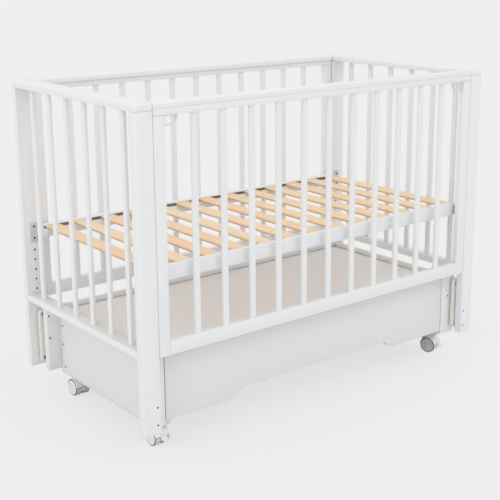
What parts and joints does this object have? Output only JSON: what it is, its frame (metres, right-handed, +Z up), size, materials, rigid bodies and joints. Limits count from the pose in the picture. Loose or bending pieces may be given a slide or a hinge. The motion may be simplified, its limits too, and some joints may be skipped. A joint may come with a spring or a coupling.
{
  "type": "pendulum crib",
  "caption": "White slatted wooden crib that hangs on pendulum arms from a drawer base on casters, with a drop side and a slatted bed base.",
  "frame": {"origin": "on the floor under the middle of the crib", "axes": "+X along the crib's length, -Y towards the side with the drawer and the drop side, +Z up"},
  "size_m": [1.27, 0.66, 0.943],
  "materials": {
    "white_lacquer": "satin white lacquer",
    "white_board": "matt white board",
    "white_hardboard": "matt white hardboard",
    "cream_lacquer": "satin cream lacquer",
    "birch": "clear lacquered birch",
    "white_plastic": "moulded white plastic",
    "hood_plastic": "moulded off-white plastic",
    "wheel_plastic": "moulded grey plastic",
    "zinc_plated_steel": "zinc plated",
    "dark_steel": "blackened steel"
  },
  "bodies": {
    "base": {"upright_front_left": "white_lacquer", "upright_front_right": "white_lacquer", "upright_back_left": "white_lacquer", "upright_back_right": "white_lacquer", "base_end_panel_left": "white_board", "base_end_panel_right": "white_board", "base_back_panel": "white_board", "base_front_stretcher": "white_board", "base_lid": "white_hardboard", "caster_rail_left": "white_lacquer", "caster_rail_right": "white_lacquer", "upper_pivot_bolt_front_left": "dark_steel", "upper_pivot_bolt_front_right": "dark_steel", "upper_pivot_bolt_back_left": "dark_steel", "upper_pivot_bolt_back_right": "dark_steel"},
    "pendulum_arm_front_left": {"arm_front_left": "cream_lacquer"},
    "pendulum_arm_front_right": {"arm_front_right": "cream_lacquer"},
    "pendulum_arm_back_left": {"arm_back_left": "cream_lacquer"},
    "pendulum_arm_back_right": {"arm_back_right": "cream_lacquer"},
    "crib": {"post_front_left": "white_lacquer", "post_front_right": "white_lacquer", "post_back_left": "white_lacquer", "post_back_right": "white_lacquer", "end_top_rail_left": "white_lacquer", "end_top_rail_right": "white_lacquer", "end_lattice_left": "white_lacquer", "end_lattice_right": "white_lacquer", "back_side_frame": "white_lacquer", "back_top_rail": "white_lacquer", "bed_rail_front": "white_lacquer", "bed_rail_back": "white_lacquer", "bed_slats": "birch", "bed_bracket_front_left": "zinc_plated_steel", "bed_bracket_front_right": "zinc_plated_steel", "bed_bracket_back_left": "zinc_plated_steel", "bed_bracket_back_right": "zinc_plated_steel", "lower_pivot_bolt_front_left": "dark_steel", "lower_pivot_bolt_front_right": "dark_steel", "lower_pivot_bolt_back_left": "dark_steel", "lower_pivot_bolt_back_right": "dark_steel"},
    "drop_side": {"front_side_frame": "white_lacquer", "front_top_rail": "white_lacquer"},
    "catch_lever_left": {"catch_left": "white_plastic"},
    "catch_lever_right": {"catch_right": "white_plastic"},
    "drawer": {"drawer_front": "white_board", "drawer_box": "white_board", "drawer_bottom": "white_hardboard"},
    "swivel_front_left": {"caster_hood_front_left": "hood_plastic"},
    "swivel_front_right": {"caster_hood_front_right": "hood_plastic"},
    "swivel_back_left": {"caster_hood_back_left": "hood_plastic"},
    "swivel_back_right": {"caster_hood_back_right": "hood_plastic"},
    "wheels_front_left": {"caster_wheels_front_left": "wheel_plastic"},
    "wheels_front_right": {"caster_wheels_front_right": "wheel_plastic"},
    "wheels_back_left": {"caster_wheels_back_left": "wheel_plastic"},
    "wheels_back_right": {"caster_wheels_back_right": "wheel_plastic"},
    "pedal_front_left": {"brake_pedal_front_left": "hood_plastic"},
    "pedal_front_right": {"brake_pedal_front_right": "hood_plastic"}
  },
  "joints": [
    {"name": "swing", "type": "hinge", "parent": "base", "child": "pendulum_arm_front_left", "pos_m": [-0.594, -0.293, 0.242], "axis": [0, 1, 0], "range_deg": [-12, 12]},
    {"name": "crib_stays_level", "type": "hinge", "parent": "pendulum_arm_front_left", "child": "crib", "pos_m": [-0.594, -0.293, 0.104], "axis": [0, 1, 0], "range_deg": [-12, 12]},
    {"name": "swing_arm_front_right", "type": "hinge", "parent": "base", "child": "pendulum_arm_front_right", "pos_m": [0.594, -0.293, 0.242], "axis": [0, 1, 0], "range_deg": [-12, 12]},
    {"name": "swing_arm_back_left", "type": "hinge", "parent": "base", "child": "pendulum_arm_back_left", "pos_m": [-0.594, 0.293, 0.242], "axis": [0, 1, 0], "range_deg": [-12, 12]},
    {"name": "swing_arm_back_right", "type": "hinge", "parent": "base", "child": "pendulum_arm_back_right", "pos_m": [0.594, 0.293, 0.242], "axis": [0, 1, 0], "range_deg": [-12, 12]},
    {"name": "drop_side_slide", "type": "slide", "parent": "crib", "child": "drop_side", "axis": [0, 0, 1], "range_m": [-0.18, 0]},
    {"name": "catch_left_slide", "type": "slide", "parent": "drop_side", "child": "catch_lever_left", "axis": [1, 0, 0], "range_m": [0, 0.008], "stiffness_N_per_m": 300},
    {"name": "catch_right_slide", "type": "slide", "parent": "drop_side", "child": "catch_lever_right", "axis": [-1, 0, 0], "range_m": [0, 0.008], "stiffness_N_per_m": 300},
    {"name": "drawer_slide", "type": "slide", "parent": "base", "child": "drawer", "axis": [0, -1, 0], "range_m": [0, 0.36]},
    {"name": "swivel_turn_front_left", "type": "hinge", "parent": "base", "child": "swivel_front_left", "pos_m": [-0.538, -0.2157, 0.0558], "axis": [0, 0, 1], "continuous": true},
    {"name": "swivel_turn_front_right", "type": "hinge", "parent": "base", "child": "swivel_front_right", "pos_m": [0.538, -0.2157, 0.0558], "axis": [0, 0, 1], "continuous": true},
    {"name": "swivel_turn_back_left", "type": "hinge", "parent": "base", "child": "swivel_back_left", "pos_m": [-0.538, 0.2157, 0.0558], "axis": [0, 0, 1], "continuous": true},
    {"name": "swivel_turn_back_right", "type": "hinge", "parent": "base", "child": "swivel_back_right", "pos_m": [0.538, 0.2157, 0.0558], "axis": [0, 0, 1], "continuous": true},
    {"name": "wheel_spin_front_left", "type": "hinge", "parent": "swivel_front_left", "child": "wheels_front_left", "pos_m": [-0.538, -0.2357, 0.025], "axis": [1, 0, 0], "continuous": true},
    {"name": "wheel_spin_front_right", "type": "hinge", "parent": "swivel_front_right", "child": "wheels_front_right", "pos_m": [0.54418, -0.23472, 0.025], "axis": [0.9511, 0.309, 0], "continuous": true},
    {"name": "wheel_spin_back_left", "type": "hinge", "parent": "swivel_back_left", "child": "wheels_back_left", "pos_m": [-0.538, 0.1957, 0.025], "axis": [1, 0, 0], "continuous": true},
    {"name": "wheel_spin_back_right", "type": "hinge", "parent": "swivel_back_right", "child": "wheels_back_right", "pos_m": [0.538, 0.1957, 0.025], "axis": [1, 0, 0], "continuous": true},
    {"name": "pedal_tilt_front_left", "type": "hinge", "parent": "swivel_front_left", "child": "pedal_front_left", "pos_m": [-0.538, -0.26583, 0.0316], "axis": [-1, 0, 0], "range_deg": [0, 20]},
    {"name": "pedal_tilt_front_right", "type": "hinge", "parent": "swivel_front_right", "child": "pedal_front_right", "pos_m": [0.55349, -0.26337, 0.0316], "axis": [-0.9511, -0.309, 0], "range_deg": [0, 20]}
  ],
  "couplings": [
    {"joint": "crib_stays_level", "follows": "swing", "ratio": -1},
    {"joint": "swing_arm_front_right", "follows": "swing", "ratio": 1},
    {"joint": "swing_arm_back_left", "follows": "swing", "ratio": 1},
    {"joint": "swing_arm_back_right", "follows": "swing", "ratio": 1}
  ]
}
